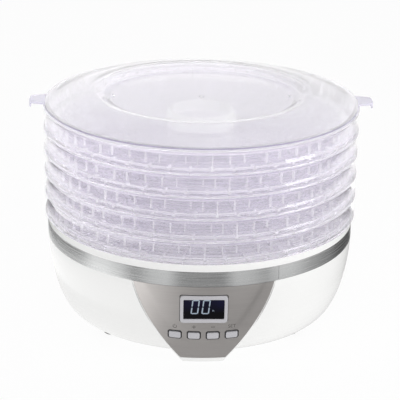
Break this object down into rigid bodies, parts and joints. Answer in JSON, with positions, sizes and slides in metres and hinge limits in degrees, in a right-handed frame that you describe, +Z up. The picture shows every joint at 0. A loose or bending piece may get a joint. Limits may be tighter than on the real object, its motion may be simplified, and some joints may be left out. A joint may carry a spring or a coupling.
{
  "type": "food dehydrator",
  "caption": "Round food dehydrator: white base with fan, heater, display and push buttons, stacked clear slotted trays and a clear domed lid.",
  "frame": {"origin": "on the ground under the middle of the base, at the centre of the appliance's footprint", "axes": "+Z up, the control panel on the front faces -Y, +X is to the right when seen from the front, along the lid's two tabs"},
  "size_m": [0.342, 0.3148, 0.231],
  "materials": {
    "white_abs": "gloss moulded white",
    "brushed_band": "brushed round the band",
    "champagne_panel": "brushed champagne-silver",
    "silver_abs": "silver-white lacquer",
    "display_lens": "polished dark lens",
    "display_unit": "satin",
    "grey_abs": "fine texture",
    "rubber_feet": "matte",
    "zinc_steel": "zinc plated",
    "sheet_steel": "galvanised",
    "circuit_board": "solder mask",
    "black_nylon": "moulded",
    "motor_can": "drawn can",
    "fan_nylon": "moulded natural nylon",
    "mica_sheet": "layered mica",
    "heating_wire": "oxidised resistance wire",
    "fuse_can": "drawn can",
    "transformer_core": "laminated core and taped winding",
    "relay_case": "moulded blue",
    "terminal_nylon": "moulded green",
    "grey_lead": "sheathed",
    "red_lead": "sheathed",
    "white_lead": "glass-fibre sleeve",
    "clear_styrene": "clear moulded with a faint lilac tint"
  },
  "bodies": {
    "base": {"base_housing": "white_abs", "steel_band": "brushed_band", "base_deck": "white_abs", "outlet_grille": "white_abs", "bottom_plate": "grey_abs", "foot_1": "rubber_feet", "foot_2": "rubber_feet", "foot_3": "rubber_feet", "foot_4": "rubber_feet", "plate_screws": "zinc_steel", "deck_screws": "zinc_steel", "cord_gland": "rubber_feet", "control_apron": "white_abs", "control_panel": "champagne_panel", "display_bezel": "silver_abs", "display_window": "display_lens", "lcd_module": "display_unit", "control_board": "circuit_board", "tact_switches": "black_nylon", "board_screws": "zinc_steel", "motor": "motor_can", "motor_bracket": "zinc_steel", "motor_screws": "zinc_steel", "air_duct": "sheet_steel", "duct_screws": "zinc_steel", "heater_frame": "mica_sheet", "heater_coil": "heating_wire", "thermostat": "black_nylon", "thermal_fuse": "fuse_can", "main_board": "circuit_board", "main_board_screws": "zinc_steel", "transformer": "transformer_core", "relay": "relay_case", "terminal_block": "terminal_nylon", "display_cable": "grey_lead", "motor_leads": "red_lead", "heater_leads": "white_lead"},
    "rotor": {"motor_shaft": "zinc_steel", "fan_wheel": "fan_nylon", "fan_nut": "zinc_steel"},
    "power_key": {"power_button": "silver_abs"},
    "plus_key": {"plus_button": "silver_abs"},
    "minus_key": {"minus_button": "silver_abs"},
    "set_key": {"set_button": "silver_abs"},
    "tray_1": {"tray_1": "clear_styrene"},
    "tray_2": {"tray_2": "clear_styrene"},
    "tray_3": {"tray_3": "clear_styrene"},
    "tray_4": {"tray_4": "clear_styrene"},
    "tray_5": {"tray_5": "clear_styrene"},
    "lid": {"lid": "clear_styrene"}
  },
  "joints": [
    {"name": "fan_spin", "type": "hinge", "parent": "base", "child": "rotor", "pos_m": [0, 0, 0.057], "axis": [0, 0, 1], "continuous": true},
    {"name": "power_press", "type": "slide", "parent": "base", "child": "power_key", "axis": [0, 0.9916, 0.1293], "range_m": [0, 0.0007], "stiffness_N_per_m": 800, "springref_m": -0.001},
    {"name": "plus_press", "type": "slide", "parent": "base", "child": "plus_key", "axis": [0, 0.9916, 0.1293], "range_m": [0, 0.0007], "stiffness_N_per_m": 800, "springref_m": -0.001},
    {"name": "minus_press", "type": "slide", "parent": "base", "child": "minus_key", "axis": [0, 0.9916, 0.1293], "range_m": [0, 0.0007], "stiffness_N_per_m": 800, "springref_m": -0.001},
    {"name": "set_press", "type": "slide", "parent": "base", "child": "set_key", "axis": [0, 0.9916, 0.1293], "range_m": [0, 0.0007], "stiffness_N_per_m": 800, "springref_m": -0.001},
    {"name": "tray_1_lift", "type": "slide", "parent": "base", "child": "tray_1", "axis": [0, 0, 1], "range_m": [0, 0.06]},
    {"name": "tray_2_lift", "type": "slide", "parent": "tray_1", "child": "tray_2", "axis": [0, 0, 1], "range_m": [0, 0.06]},
    {"name": "tray_3_lift", "type": "slide", "parent": "tray_2", "child": "tray_3", "axis": [0, 0, 1], "range_m": [0, 0.06]},
    {"name": "tray_4_lift", "type": "slide", "parent": "tray_3", "child": "tray_4", "axis": [0, 0, 1], "range_m": [0, 0.06]},
    {"name": "tray_5_lift", "type": "slide", "parent": "tray_4", "child": "tray_5", "axis": [0, 0, 1], "range_m": [0, 0.06]},
    {"name": "lid_lift", "type": "slide", "parent": "tray_5", "child": "lid", "axis": [0, 0, 1], "range_m": [0, 0.08]}
  ]
}
